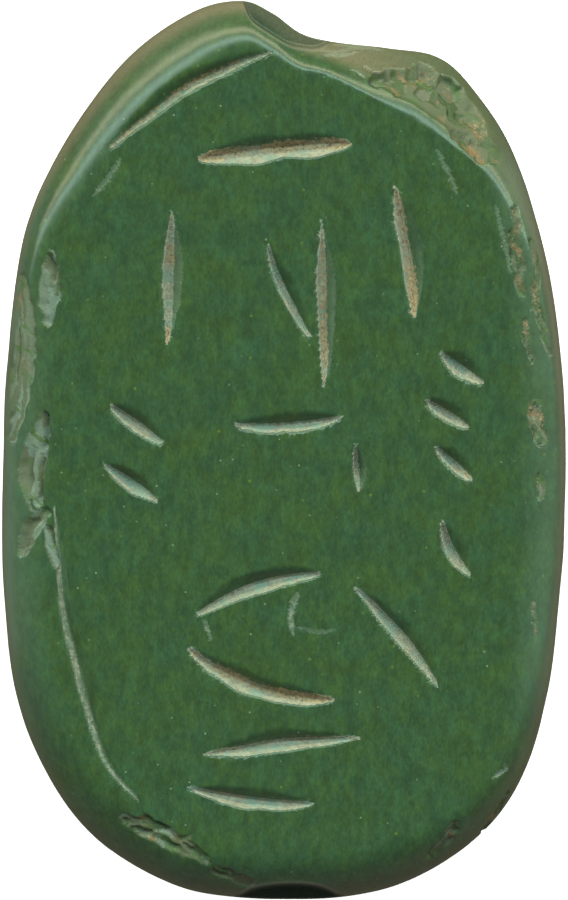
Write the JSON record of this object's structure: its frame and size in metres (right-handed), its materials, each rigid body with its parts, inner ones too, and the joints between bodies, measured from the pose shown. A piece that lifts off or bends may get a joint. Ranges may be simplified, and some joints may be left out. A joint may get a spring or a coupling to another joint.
{
  "type": "scarab seal",
  "caption": "Oval scarab seal of green stone with a domed beetle back, a flat face cut with shallow strokes and a stringing hole from end to end.",
  "frame": {"origin": "middle of the small worn flat on the beetle's back, which the seal lies on, under the middle of its box", "axes": "+Z is the outward normal of the engraved face, which looks up; +Y runs along the length towards the beetle's head"},
  "size_m": [0.0114, 0.018, 0.0074],
  "materials": {
    "green_stone": "polished green jasper, mottled, worn matt and pale in the strokes"
  },
  "bodies": {
    "root": {"scarab_seal": "green_stone"}
  },
  "joints": []
}
